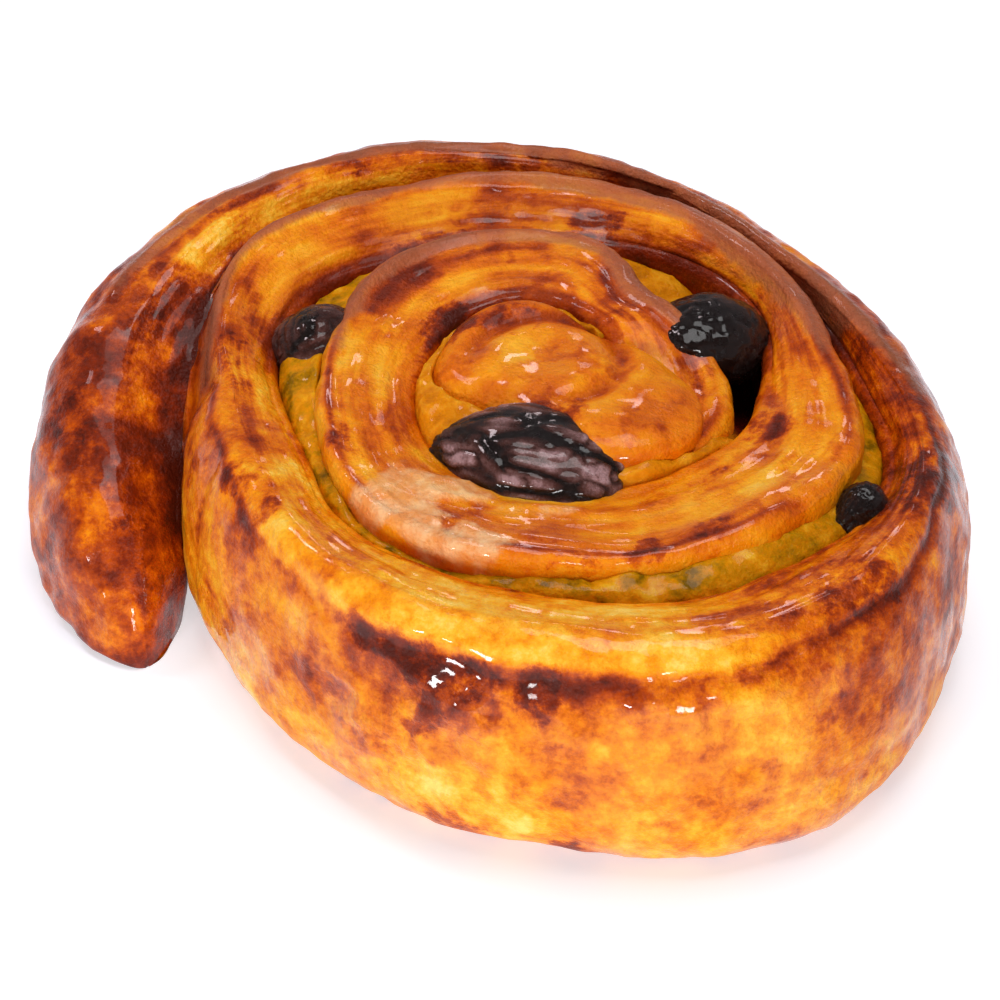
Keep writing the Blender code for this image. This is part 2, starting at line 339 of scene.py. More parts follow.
def outer_wall(turns):
    """The free wall on the first turn; after it, the inner side of the crease one turn back."""
    free = curve(turns, RIDGE_RADII, RADII_PER_TURN) + curve(turns, WALL_SWELLS, RADII_PER_TURN)
    inside = crease(turns - 1) - gap(turns - 1) / 2 + JOIN_OVERLAP * joined(turns)
    return np.where(turns < 1, free, inside)


print("half a turn in, the crease is at", float(crease(0.5)), "mm and", float(gap(0.5)), "mm wide")

# %% [markdown]
# ## The rolled strip
# The strip is one profile carried along the spiral. Bending a flat slab with a modifier would be quicker,
# but each turn of a baked roll has pressed its neighbours into its own shape. So the profile is measured
# afresh at every turn.

# %% The section's measures
WALL_SHOULDER_DEPTH = 12.0
WALL_FOOT_HEIGHT = 8.0
WALL_FOOT_INSET = 4.0
INNER_SWELL = 1.4
INNER_SHOULDER_DEPTH = 2.1
INNER_FOOT = 0.8
LIP_STEP = 0.3
CROWN_INSET = 3.0
TAIL_TAPER = 0.5
END_SINK = 2.4
SHOULDER_POWER = 0.667


def section(t):
    """The measures of the section at turns t. Free is 1 on the open outer wall and 0 inside the coil.

    The shoulder's power is 2/3, full and square, inside the coil, and nearer 1, round, on the free wall.
    """
    free = 1 - ease(t, 1.02, 1.18)
    mound = 1 - ease(t, 0.04, 0.12)
    front = ease(t, 0.66, 0.74) * (1 - ease(t, 0.95, 1.0))
    sunk = END_SINK * ease(t, 2.53, 2.66)
    top = curve(t, RIDGE_HEIGHTS) - sunk
    lip = np.minimum(curve(t, LIP_HEIGHTS) - sunk, top - LIP_STEP)
    outer = outer_wall(t)
    inner = crease(t) + gap(t) / 2 + TAIL_TAPER * (1 - ease(t, 0.0, 0.04))
    swell = curve(t, WALL_SWELLS, RADII_PER_TURN) * free + INNER_SWELL * (1 - free)
    depth = np.minimum(WALL_SHOULDER_DEPTH + 2 * front, (0.6 + 0.2 * mound) * top)
    depth = depth * free + INNER_SHOULDER_DEPTH * (1 - free)
    foot = np.minimum(np.minimum(WALL_FOOT_HEIGHT, 0.35 * top), 0.7 * (top - depth))
    foot = foot * free + INNER_FOOT * (1 - free)
    inset = np.minimum(WALL_FOOT_INSET, 0.4 * (outer - inner)) * free + INNER_FOOT * (1 - free)
    ridge = outer - swell
    crown = ridge - np.clip(0.30 * (ridge - inner), 0, CROWN_INSET) * free
    power = SHOULDER_POWER + (0.2 + 0.12 * front) * free
    return SimpleNamespace(
        top=top, lip=lip, outer=outer, inner=inner, depth=depth,
        foot=foot, inset=inset, ridge=ridge, crown=crown, power=power,
    )  # fmt: skip


print("ridge half a turn in:", float(section(np.array(0.5)).top), "mm high")

# %% [markdown]
# The profile has seven parts: the inner wall, the rounded lip, the cut face, the round shoulder, the outer
# wall, its foot, and the flat base. Each part is a formula in its own share from 0 to 1, so the whole strip
# is one array operation.

# %% The profile's parts
LIP_ROUND = 1.0
LIP_DEPTH = 1.6
COLUMNS = dict(inner=5, lip=9, face=36, shoulder=30, wall=8, foot=8, base=6)


def profile_parts(t, s):
    """Distance from the middle, height and place across, for each turn and each column.

    Across runs from -1 to 0 up the inner wall, to 1 over the cut face, to 2 down the outer wall and to 3
    along the base. The shoulder is a superellipse: sin^power out and cos^power down.
    """
    share = {part: (np.arange(count) / count)[None, :] for part, count in COLUMNS.items()}
    flat = 0 * t
    up = share["inner"]
    inner_wall = (s.inner + 0 * up, INNER_FOOT + (s.lip - LIP_DEPTH - INNER_FOOT) * up, up - 1 + flat)
    a = share["lip"] * np.pi / 2
    lip = (s.inner + LIP_ROUND * (1 - np.cos(a)), s.lip - LIP_DEPTH * (1 - np.sin(a)), 0 * a + flat)
    p = 1 - share["face"]
    drop = 0.6 * p + 0.4 * p**4
    face = (s.crown + (s.inner + LIP_ROUND - s.crown) * p, s.top - (s.top - s.lip) * drop, 1 - p + flat)
    a = share["shoulder"] ** 1.2 * np.pi / 2
    shoulder = (
        s.crown + (s.outer - s.crown) * np.sin(a) ** s.power,
        s.top - s.depth + s.depth * np.cos(a) ** s.power,
        1 + 0.6 * share["shoulder"] + flat,
    )
    down = share["wall"]
    fall = s.foot - s.top + s.depth
    wall = (s.outer + 0 * down, s.top - s.depth + fall * down, 1.6 + 0.2 * down + flat)
    a = share["foot"] * np.pi / 2
    foot = (s.outer - s.inset * (1 - np.cos(a)), s.foot * (1 - np.sin(a)), 1.8 + 0.2 * share["foot"] + flat)
    under = share["base"]
    width = s.inner + INNER_FOOT - s.outer + s.inset
    base = (s.outer - s.inset + width * under, 0 * under + flat, 2 + under + flat)
    parts = (inner_wall, lip, face, shoulder, wall, foot, base)
    return [np.hstack([part[item] for part in parts]) for item in range(3)]


print("columns round the strip:", sum(COLUMNS.values()))

# %% [markdown]
# The tail is the loose end of the strip. Its tip is a lobe that rests on the table, and a little way behind
# the tip it has baked onto the coil, so both slope into one shared valley. A Boolean union would leave a
# sharp seam there. Instead the heights of the two neighbours are eased into the same valley.


# %% The tail and its valley
def tail_shape(t, s, radius, height, across):
    """The heights again: an ellipse over the free end, then slopes of 3q^2 - 2q^3 into the valley."""
    is_top = (across >= 0) & (across < 1)
    inward = np.clip((s.crown - radius) / (s.crown - s.inner), 0, 1)
    lobe = s.top * np.sqrt(1 - inward**2)
    free_end = 1 - ease(t, 0.026, 0.052)
    height = np.where(is_top, height + (lobe - height) * free_end, height)
    height = np.where(across < 0, height * (1 - 0.94 * free_end), height)
    fused = ease(t, 0.040, 0.075) * (1 - ease(t, 0.15, 0.25))
    slope = s.top - (s.top - s.lip) * ease(inward, 0, 1)
    height = np.where(is_top, height + (slope - height) * fused, height)
    outward = ease((radius - s.crown) / (s.outer - s.crown), 0, 1)
    slope = s.top - (s.top - curve(t - 1, LIP_HEIGHTS)) * outward
    is_shoulder = (across >= 1) & (across < 1.6)
    return np.where(is_shoulder, height + (slope - height) * joined(t), height)


def strip_profile(turns):
    """Distance from the middle, height, place across and distance beyond the ridge, turn by turn."""
    t = turns[:, None]
    s = section(t)
    radius, height, across = profile_parts(t, s)
    return radius, tail_shape(t, s, radius, height, across), across, radius - s.ridge


plain_heights = strip_profile(np.linspace(0, 2, 50))[1]
print("highest point of the plain strip:", round(float(plain_heights.max()), 1), "mm")

# %% [markdown]
# The rows are spaced by length along the roll, not by angle, so that the tight inner turns don't get more
# of them than they need. At the tail they crowd together, as round a ball, to give the tip its curve.

# %% Rows along the roll
TAIL_TIP = 0.008
TAIL_ROUNDING = 0.045
STRIP_END = 2.775
END_ROUNDING = 0.02
ROW_STEP = 0.45
TAIL_ROWS = 26
FINE_STEPS = 4000


def strip_turns():
    """Turns at equal steps of length, after a tail whose rows follow 1 - cos."""
    tail = TAIL_TIP + TAIL_ROUNDING * (1 - np.cos(np.linspace(0.04, np.pi / 2, TAIL_ROWS)))
    fine = np.linspace(tail[-1], STRIP_END - 0.0002, FINE_STEPS)
    radius = (crease(fine) + outer_wall(fine)) / 2
    length = np.concatenate([[0], np.cumsum(2 * np.pi * radius[1:] * np.diff(fine))])
    rows = int(length[-1] / ROW_STEP)
    return np.concatenate([tail[:-1], np.interp(np.linspace(0, length[-1], rows), length, fine)])


def end_size(turns):
    """How large the section is near the two ends: (1 - (1 - p)^2.6)^0.5 over each rounding."""
    tail = np.clip((turns - TAIL_TIP) / TAIL_ROUNDING, 0, 1)
    last = np.clip((STRIP_END - turns) / END_ROUNDING, 0, 1)
    return np.sqrt(1 - (1 - np.minimum(tail, last)) ** 2.6)


turns = strip_turns()
radius, height, across, beyond = strip_profile(turns)
middle = (radius.min(axis=1, keepdims=True) + radius.max(axis=1, keepdims=True)) / 2
size = end_size(turns)[:, None]
strip = wind(turns[:, None], middle + (radius - middle) * size, height * size)
print("rows along the roll:", len(turns), "columns round it:", radius.shape[1])

# %% [markdown]
# ## Where things are on the strip
# Relief and browning both need to know where a point lies: on the cut face, on the wall, along the ridge,
# at the back, or inside a patch that the oven or the filling left. Painting these by hand would work for
# one slice only. As numbers for every point they follow the strip when it changes.

# %% Regions and patches
FACE_COLUMN = 30

t = np.broadcast_to(turns[:, None], across.shape)
on_face = ease(across, -0.05, 0.08) * (1 - ease(across, 0.9, 1.02)) * ease(t, 0.05, 0.14)
on_wall = ease(across, 1.0, 1.12) * (1 - ease(across, 1.93, 2.0))
on_top = ease(across, -0.4, 0.05) * (1 - ease(across, 1.93, 2.0))
sticky = bump(t, 0.885, 0.045) * bump(beyond, 2.6, 1.8)
length = steps_along(strip[:, FACE_COLUMN])
streak = np.stack(np.broadcast_arrays(length[:, None] / 7, beyond, 0.0), axis=-1)


def at_the_back(points):
    """1 at the back of the slice, easing to 0 towards its front and on the tail."""
    return ease(points[..., 1], -4, 14) * ease(t, 0.10, 0.16)


def ridge_line(points):
    """A thin, wavering line just outside the ridge."""
    return bump(beyond + 0.5 * lumps(points, 4.0, 0.6), 0.2, 0.4)


def patches(points, turns_of_points, spots):
    """The sum of bells round the spots, stretched along the roll and frayed by lumps."""
    angle = TAIL_DIRECTION - 2 * np.pi * turns_of_points
    along = np.stack([np.sin(angle), -np.cos(angle), 0 * angle], axis=-1)
    fray = 0.45 * lumps(points, 3.2, 7.7) + 0.35 * lumps(points, 1.6, 0.9)
    total = 0.0
    for x, y, z, reach_along, reach_across, amount in spots:
        away = points - (x, y, z)
        run = np.einsum("...i,...i->...", away, along)
        rest = np.sqrt(np.maximum(np.einsum("...i,...i->...", away, away) - run**2, 0))
        distance = np.sqrt((run / reach_along) ** 2 + (rest / reach_across) ** 2)
        total = total + amount * (1 - ease(distance + fray, 0.45, 1.35))
    return total


print("length of the strip along its cut face:", round(float(length[-1])), "mm")

# %% [markdown]
# ## The surface that baking gives
# Heat lifts blisters, and the cut layers open into fine terraces and streaks. At the back the ridge sets as
# a thin raised bead. A Displace modifier could lift one texture, but each of these belongs to its own
# region. So they are summed here, and pushed out along the normals, with the base left flat.


# %% Relief of the cut face and the ridge
def swelling_relief():
    """Lumps of four sizes everywhere but on the base, and coarser ones on the tail."""
    out = 0.45 * lumps(strip, 15.0) + 0.26 * lumps(strip, 6.5, 3.1) + 0.11 * lumps(strip, 2.6, 9.2)
    tail = 0.35 * lumps(strip, 3.6, 2.6) + 0.12 * lumps(strip, 1.8, 1.1)
    out += 0.055 * lumps(strip, 1.25, 4.8) + tail * (1 - ease(t, 0.10, 0.20))
    return out * on_top


def ridge_relief():
    """A raised bead and waves of plies at the back, and a groove along the ridge at the front."""
    back = at_the_back(strip)
    is_face = (across > 0.05) & (across < 1.6)
    bead = 0.34 * bump(beyond, 0.0, 0.45) - 0.26 * bump(beyond, -1.1, 0.55)
    out = bead * back * (0.6 + 0.9 * lumps(strip, 8.0, 1.7)) * is_face
    out -= 0.30 * ridge_line(strip) * ease(t, 0.62, 0.70) * (1 - ease(t, 0.90, 0.96))
    plies = np.sin(2 * np.pi * (beyond + 0.6 * lumps(strip, 7.0, 0.9)) / 1.7)
    out += 0.13 * plies * back * bump(beyond, -0.6, 2.2) * is_face * (t < 1)
    return out


def layer_relief():
    """Fine terraces across the cut face, and streaks that run along it."""
    layers = np.sin(across * 34 + 4.0 * lumps(strip, 9.0, 6.4) + 9 * t)
    out = 0.035 * layers * on_face * ease(lumps(strip, 7.0, 4.4), -0.1, 0.5)
    out += (0.20 * lumps(streak, 1.5, 0.4) + 0.10 * lumps(streak, 0.7, 2.4)) * on_face
    return out


print("the ridge's relief goes up to", round(float(ridge_relief().max()), 2), "mm")

# %% [markdown]
# Where glaze ran down the front wall, the crust stayed wet and wrinkled. Where custard was pressed out over
# the cut face, it dried as a crinkled film, drawn pale pink, which is partly a painted sheen. And round the
# raisin at the back, the dough dipped.

# %% Relief of the wall, the film and the raisin's socket
WET_SPOTS = [
    # x, y, z in millimetres, reach along and across, and how deep the wrinkles are
    (-4.3, -33.8, 15, 4.4, 3, 1),
    (12.6, -38.2, 18.2, 5, 2.4, 1),
    (19, -37.8, 19.2, 4.6, 2.2, 0.9),
    (6, -37.5, 15, 2.6, 2, 0.6),
]
# Their pale pink colour in the finish is partly a dried custard film and partly a painted sheen.
CREAM_AND_SHEEN_PATCHES = [
    # the same, and how thick the film is
    (-7.5, -16, 22, 5, 4.2, 1),
    (-2.5, -21, 22, 4.5, 3, 0.9),
    (-3.5, -14.5, 21.5, 4.5, 2.5, 0.9),
    (2.5, -17, 21, 4.5, 1.3, 0.5),
]
SOCKET_MIDDLE = (18.0, 2.4)
SOCKET_REACH = 3.8
SOCKET_DEPTH = 0.8


def wall_relief():
    """Small blisters and folds over the wall, and deeper wrinkles in the sticky run and the wet spots."""
    out = 0.10 * (lumps(strip, 1.5, 6.1) + 0.5 * lumps(strip, 0.9, 2.7)) * on_wall
    out += 0.10 * on_wall * folds(strip * (1, 1, 0.5), 5.0, 8.8)
    out += 0.8 * sticky * (across < 1.6) * (folds(strip * (1, 1, 0.7), 2.5, 2.2) - 0.35)
    soaked = np.clip(patches(strip, t, WET_SPOTS), 0, 1) * (t < 1) * (across > 1)
    out += soaked * (0.2 + 0.5 * folds(strip * (1, 1, 1.2), 2.0, 1.2))
    return out


def cream_relief():
    """A film a quarter of a millimetre thick, with crests where it crinkled."""
    creamed = np.clip(patches(strip, t, CREAM_AND_SHEEN_PATCHES), 0, 1) * (t > 1.1) * on_face
    return creamed * (0.25 + 0.45 * (folds(strip, 2.6, 5.2) - 0.4))


def socket(points):
    """How far the dough dips round the raisin at the back, so that its near side shows."""
    away = np.linalg.norm(points[..., :2] - SOCKET_MIDDLE, axis=-1)
    return SOCKET_DEPTH * bump(away, 0.0, SOCKET_REACH)


relief = swelling_relief() + ridge_relief() + layer_relief() + wall_relief() + cream_relief()
strip = strip + grid_normals(strip) * relief[..., None]
strip[..., 2] = np.maximum(strip[..., 2] - socket(strip) * on_top, 0)
print("relief from", round(float(relief.min()), 2), "to", round(float(relief.max()), 2), "mm")

# %% [markdown]
# ## Browning
# The crust is pale where it was shaded from the heat or wet with custard, amber over most of the wall, and
# dark on what
# stood up towards the heat: the ridges, the tail and the crests of the blisters. Noise alone would put the
# dark patches anywhere. So one number for each point says how far it is baked, from rules for each region
# and a list of single patches, and the finish turns that number into a colour. A few rules also put
# painted light and painted shade into that number.

# %% Patches that the oven left
BROWN_PATCHES = [
    # x, y, z in millimetres, reach along and across, and how much darker
    (-36.6, 3, 16, 4.5, 4, 0.22),
    (-31.5, -5, 9, 5, 4, 0.16),
    (-21.5, -12, 21.5, 2.2, 2.4, 0.34),
    (-19, -17, 21.6, 1.6, 1.4, 0.30),
    (-13, -28.5, 19.5, 2.5, 2.2, 0.20),
    (-9.5, -30.5, 18.5, 3, 3.2, 0.28),
    (-6, -32.5, 17, 3.2, 3.8, 0.30),
    (-1.5, -34, 18, 3.4, 2.8, 0.24),
    (3.5, -35.5, 18.5, 3.2, 2.2, 0.18),
    (-4.5, -34, 14, 2.4, 2.6, 0.20),
    (2, -36, 19, 3.5, 2.5, 0.14),
    (9, -40, 10, 3.5, 3, 0.16),
    (15, -40.5, 8, 3.5, 3, 0.16),
    (22, -39.5, 10, 3.5, 3, 0.12),
    (-4, -35, 2, 6, 2.4, 0.34),
    (3, -37.5, 1.5, 5, 2, 0.30),
    (-14, -29, 1.5, 4, 2, 0.30),
    (37, -12, 21, 7, 3.2, 0.30),
    (33, -8, 21.5, 3, 2, 0.26),
    (29, -26.5, 21.5, 4.5, 2.5, 0.30),
    (-24.5, 24, 21.5, 3, 2.5, 0.22),
    (-13.5, 31, 21.3, 3.5, 2, 0.22),
    (-30.3, 13, 19, 6, 2, 0.24),
    (-22.5, 3, 22, 4, 2, 0.26),
    (-6.6, 20.5, 21, 7, 2, 0.28),
    (10, 22, 21, 8, 2, 0.26),
    (-4.7, 7, 22, 5, 2.4, 0.34),
    (0.5, 8, 23.5, 5, 2, 0.26),
    (-12.5, -9, 22.8, 4, 2, 0.26),
    (22.5, -5, 22, 2.2, 2.2, 0.34),
    (4, -24.5, 21, 9, 1.2, 0.30),
    (15, -21, 21, 8, 1.4, 0.24),
    (18, -12, 22, 5, 1.6, 0.22),
    (18, 1, 21, 4, 2, 0.14),
    (5.5, -6.4, 22.5, 3.5, 1.8, 0.30),
]
PALE_PATCHES = [
    # the same, and how much paler
    (-17, -4.5, 21, 5, 3.2, 0.24),
    (-13, 3.5, 22, 3, 2, 0.16),
    (25, -36, 15, 9, 4.5, 0.08),
    (-36.5, -7, 14, 5, 3.5, 0.18),
    (-31, -16.5, 13, 4, 3, 0.16),
    (-16.5, -27.5, 16.5, 5, 4, 0.22),
    (-27.5, 22, 20, 5, 3, 0.22),
    (9.5, -4, 23.5, 4, 3, 0.20),
    (0.5, -15, 22, 7, 2.4, 0.20),
    (3, 3, 24, 3, 2.6, 0.12),
]
# Patches of dull skin on the tail, which also get the painted mauve reflection.
DULL_AND_REFLECTION_PATCHES = [(-39, -4, 13, 6, 2.6, 1), (-33.5, -19.5, 8, 5, 2.2, 1)]
LADDER = [(-5.6, 3.2, 22, 3.4, 1.6, 0.9)]
print(len(BROWN_PATCHES), "brown and", len(PALE_PATCHES), "pale patches")


# %% [markdown]
# Each region has its own rule. The wall is paler all over, painted light for the light that a steep wall
# misses, and paler still low down, partly less baked and partly painted light from the table's glow. The
# tail is thin and dries out first. On the cut face the ridge is dark, and the glazed slope at the front
# stays pale.


# %% Browning by region
def wall_browning():
    """The outer wall, paler with painted light, its band under the ridge, and the walls inside the coil."""
    z = strip[..., 2]
    # Painted light: the free wall is paler all over, and every wall is paler still low down, partly less
    # baked and partly painted light from the table's glow.
    level = -0.08 * on_wall * (t < 1) - 0.14 * on_wall * ease(-z, -16.0, -4.0)
    level += 0.20 * on_wall * bump(z, 0.0, 1.6)
    level += 0.09 * on_wall * (t < 1) * ease(strip[..., 1], -6, 20)
    level -= 0.14 * ease(t, 1.1, 1.25) * ease(beyond, 0.8, 1.8) * (across < 2)
    band = ease(beyond, -0.3, 0.3) * (1 - ease(beyond, 0.5, 3.0)) * (across < 1.7) * (t < 1) * (t > 0.1)
    return level + (0.07 + 0.18 * bump(t, 0.885, 0.05)) * band


def tail_browning():
    """The tail, and painted shade on both sides of the valley that it shares with the coil."""
    level = 0.21 * (1 - ease(t, 0.08, 0.2)) + 0.08 * bump(t, 0.05, 0.045)
    # Painted shade: both sides of the valley between the tail and the coil are drawn darker.
    valley = ease(t, 0.03, 0.07) * (1 - ease(t, 0.16, 0.24))
    level += 0.30 * valley * (1 - ease(across, 0.05, 0.45)) * (across > -0.5)
    valley = ease(t, 1.03, 1.07) * (1 - ease(t, 1.14, 1.22))
    return level + 0.20 * valley * ease(across, 1.15, 1.4) * (across < 2)


def cut_browning():
    """The cut face: a dark ridge, two dark stretches at the right, a pale slope at the front, streaks."""
    line = ridge_line(strip) * ease(lumps(strip, 9.0, 3.7), -0.8, 0.0) * (across > 0.05) * (across < 1.5)
    level = (0.30 - 0.14 * bump(t, 0.87, 0.12)) * line * ease(t, 0.08, 0.16)
    level += 0.14 * bump(t, 0.62, 0.08) + 0.10 * bump(t, 0.72, 0.06) - 0.07 * ease(t, 1.1, 1.2)
    slope = ease(across, -0.1, 0.1) * (1 - ease(beyond, -0.4, 0.3)) * (across < 1.5)
    level -= 0.24 * bump(t, 0.84, 0.12) * slope
    return level + (0.13 * lumps(streak, 1.6, 8.4) + 0.06 * lumps(streak, 0.8, 3.4)) * on_face


def back_browning():
    """At the back: a pale slope, a broken dark line below the ridge, and painted shade on the lips and inner
    walls.
    """
    level = -0.20 * ease(-beyond, 1.2, 2.6) * on_face * (t < 1)
    level += 0.30 * bump(beyond, -1.6, 0.8) * ease(lumps(strip, 3.4, 1.6), -0.1, 0.4) * (across < 1.2)
    # Painted shade: the lips and the inner walls beside the creases at the back are darkened, like the
    # narrow gaps.
    level += 0.34 * (1 - ease(across, 0.0, 0.14)) * (across > -0.3)
    level += 0.22 * ease(t, 1.1, 1.25) * ease(beyond, 0.5, 1.2) * (across < 2)
    return level * at_the_back(strip)


def strip_browning():
    """0 raw to 1 burnt: a level for each region, less the pale patches, with lumps of three sizes."""
    level = 0.40 + wall_browning() + tail_browning() + cut_browning() + back_browning()
    level -= patches(strip, t, PALE_PATCHES)
    level += 0.13 * lumps(strip, 6.0, 5.5) + 0.10 * lumps(strip, 2.8, 2.9) + 0.05 * lumps(strip, 1.3, 4.6)
    return np.clip(level, 0, 1)


def dullness_and_reflection():
    """How dry and dull the skin is, and where the mauve painted reflection lies: most along the ridges at
    the back, at the far right and on the tail.
    """
    back = ease(strip[..., 1], -6, 12) * ease(t, 0.10, 0.16)
    ridges = bump(beyond + 0.5 * lumps(strip, 5.0, 0.3), 0.1, 1.3) * back * (across > 0.05) * (across < 1.7)
    wall = 0.36 * on_wall * ease(strip[..., 0], 31, 37) * (t < 1) * ease(-beyond, -6.0, -1.0)
    return np.clip(ridges + wall + 0.7 * patches(strip, t, DULL_AND_REFLECTION_PATCHES), 0, 1)


browning = strip_browning()
print("the strip is baked to", round(float(browning.mean()), 2), "on average")

# %% [markdown]
# The skin carries these numbers as fields: baked, which also holds painted light and shade, and scorched
# for the colour, soaked for the glaze, rim for the dull ridges and their painted mauve reflection, crisp for
# how broken up the colour is, ladder for the scored marks, the cream field for the film and its painted
# sheen. Along and around are lengths on the skin, so that a pattern can follow the roll.

# %% The strip's skin
MIDDLE_ROW = 400

rolled_strip = skin(
    "rolled_dough",
    strip,
    baked=browning,
    scorched=np.clip(2.2 * patches(strip, t, BROWN_PATCHES), 0, 1),
    soaked=np.clip(patches(strip, t, WET_SPOTS) * (across > 1) + sticky, 0, 1) * (t < 1),
    rim=dullness_and_reflection(),
    crisp=1 - 0.55 * ease(t, 1.0, 1.12),
    ladder=np.clip(patches(strip, t, LADDER), 0, 1),
    creamed=np.clip(patches(strip, t, CREAM_AND_SHEEN_PATCHES), 0, 1) * (t > 1.1),
    cut=on_face,
    along=length[:, None] * MM,
    around=steps_along(strip[MIDDLE_ROW])[None, :] * MM,
)

# %% [markdown]
# ## The heart of the coil
# Inside the last turn the dough swells up into a low dome. A squashed ball would show its even outline,
# so the heart is a skin like the strip: its columns go round the outline of the crease, and its rows climb
# up the side and over the dome.

# %% The heart
HEART_FIRST_TURN = 1.79
HEART_LAST_TURN = 2.55
HEART_CROWN = 23.6
HEART_COLUMNS = 150
DOME_ROWS = 59
DOME_POWER = 0.62
# share of the outline and of the lip's height, for the rows up the side
HEART_SIDE = [(0.1, 0.0), (0.5, 0.0), (0.94, 0.0), (1.0, 0.05), (1.0, 0.5)]


def heart_grid():
    """A straight side, then a superellipse dome: cos^0.62 in and sin^0.62 up."""
    around = np.linspace(HEART_FIRST_TURN, HEART_FIRST_TURN + 1, HEART_COLUMNS, endpoint=False)
    side = crease(around) - gap(around) / 2
    start = HEART_LAST_TURN - 0.03
    blend = ease(around, start, HEART_LAST_TURN + 0.17)
    one_turn_back = crease(around - 1) - gap(around - 1) / 2
    outline = np.where(around > start, side + (one_turn_back - side) * blend, side)
    lip = curve(around, LIP_HEIGHTS) - 1.4
    a = np.linspace(0, np.pi / 2, DOME_ROWS + 1)[:-1, None]
    side_share, side_level = np.array(HEART_SIDE).T[..., None]
    share = np.vstack([side_share, np.cos(a) ** DOME_POWER])
    level = np.vstack([side_level, 1 + 0 * a])
    rise = np.vstack([0 * side_level, np.sin(a) ** DOME_POWER])
    heights = lip * level + (HEART_CROWN - lip) * rise
    return around, wind(around[None, :], outline * share, heights), rise


around, heart, rise = heart_grid()
print("rows of the heart:", len(heart))

# %% [markdown]
# On the dome, a shallow groove that winds inward shows where the last curl was tucked in.

# %% The heart's groove and skin
HEART_MIDDLE = (5.2, 0.6)
GROOVE_START = 7.6
GROOVE_SHRINK = 3.4
GROOVE_WIDTH = 1.1


def heart_groove(points):
    """A bell across a spiral whose radius is start - shrink * turn, faded out at both ends."""
    from_middle = points[..., :2] - HEART_MIDDLE
    distance = np.linalg.norm(from_middle, axis=-1)
    bearing = np.arctan2(from_middle[..., 1], from_middle[..., 0])
    curl = np.mod(TAIL_DIRECTION - bearing, 2 * np.pi) / (2 * np.pi)
    faded = ease(curl, 0.02, 0.16) * (1 - ease(curl, 0.74, 0.92))
    return bump(distance, GROOVE_START - GROOVE_SHRINK * curl, GROOVE_WIDTH) * faded


groove = heart_groove(heart)
swelling = 0.4 * lumps(heart, 7.0, 1.2) + 0.22 * lumps(heart, 3.0, 2.2)
swelling += 0.10 * lumps(heart, 1.9, 0.8) + 0.06 * lumps(heart, 1.2, 0.3) - 0.7 * groove
heart[..., 2] += swelling * ease(rise, 0.2, 0.7) - socket(heart) * ease(rise, 0.0, 0.3)
heart_turns = np.broadcast_to(around[None, :], heart.shape[:2])
heart_browning = 0.33 - patches(heart, heart_turns, PALE_PATCHES) + 0.22 * groove
heart_browning += 0.12 * lumps(heart, 6.0, 5.5) + 0.08 * lumps(heart, 2.4, 2.9)
heart_dough = skin(
    "heart_of_dough",
    heart,
    baked=heart_browning,
    scorched=np.clip(2.2 * patches(heart, heart_turns, BROWN_PATCHES), 0, 1),
    crisp=0.45,
    **{field: 0.0 for field in ("soaked", "rim", "ladder", "creamed", "cut", "along", "around")},
)

# %% [markdown]
# ## The custard
# Custard was spread on the dough before it was rolled, so it is one ribbon that runs through the whole
# coil. It shows only where the turns gape, as a glossy, lumpy yellow band, and it is sunk out of sight
# elsewhere. Separate blobs in each gap would look the same from above, but they wouldn't be a filling.

# %% The ribbon of custard
CUSTARD_START = 0.18
CUSTARD_END = 2.56
CUSTARD_ROWS = 620
CUSTARD_COLUMNS = 22
CUSTARD_BASE = 0.6
PIT_TURN = 1.575
PIT_DEPTH = 7.0


def custard_grid():
    """A rounded bar in the crease, |sin|^0.8 on top: raised at the left and the front, sunk in the pit."""
    along = np.linspace(CUSTARD_START, CUSTARD_END, CUSTARD_ROWS)[:, None]
    half = np.maximum(gap(along) / 2 + 0.15, 0.3)
    top = curve(along, LIP_HEIGHTS) - 0.5 + 0.5 * ease(gap(along), 1.0, 2.4)
    top = top + 0.8 * bump(along, 1.09, 0.07) - PIT_DEPTH * bump(along, PIT_TURN, 0.075)
    top = top + 1.3 * ease(along, 1.58, 1.68) * (1 - ease(along, 2.0, 2.15))
    a = np.linspace(0, 2 * np.pi, CUSTARD_COLUMNS, endpoint=False)[None, :]
    out = half * np.sign(np.cos(a)) * np.abs(np.cos(a)) ** 0.5
    upper = np.sin(a) > 0
    tilt = np.minimum(0.35 * gap(along), 1.0) * np.cos(a)
    heights = np.where(upper, top - tilt - 1.2 + 1.2 * np.abs(np.sin(a)) ** 0.8, CUSTARD_BASE + 0 * top)
    return wind(along, crease(along) + out, heights), upper


custard, upper = custard_grid()
custard[..., 2] += (0.5 * lumps(custard, 2.4, 3.3) + 0.35 * folds(custard, 1.6, 0.7) - 0.1) * upper
ribbon_turns = np.linspace(CUSTARD_START, CUSTARD_END, CUSTARD_ROWS)[:, None]
golden = ease(ribbon_turns, 1.3, 1.5)
# Where the pit round the back raisin gets painted shade in the finish.
stained = bump(ribbon_turns, PIT_TURN, 0.085)
custard_ribbon = skin("custard_ribbon", custard, golden=golden, stained=stained)

# %% [markdown]
# ## The raisins
# A raisin is a grape that dried from the inside, so its skin is too large for it and falls into deep
# folds. A cloth simulation could shrink one, but wouldn't give the same folds twice. So each one is a ball
# whose radius dips along folds that run lengthwise, then it is stretched, turned and set in the crease.

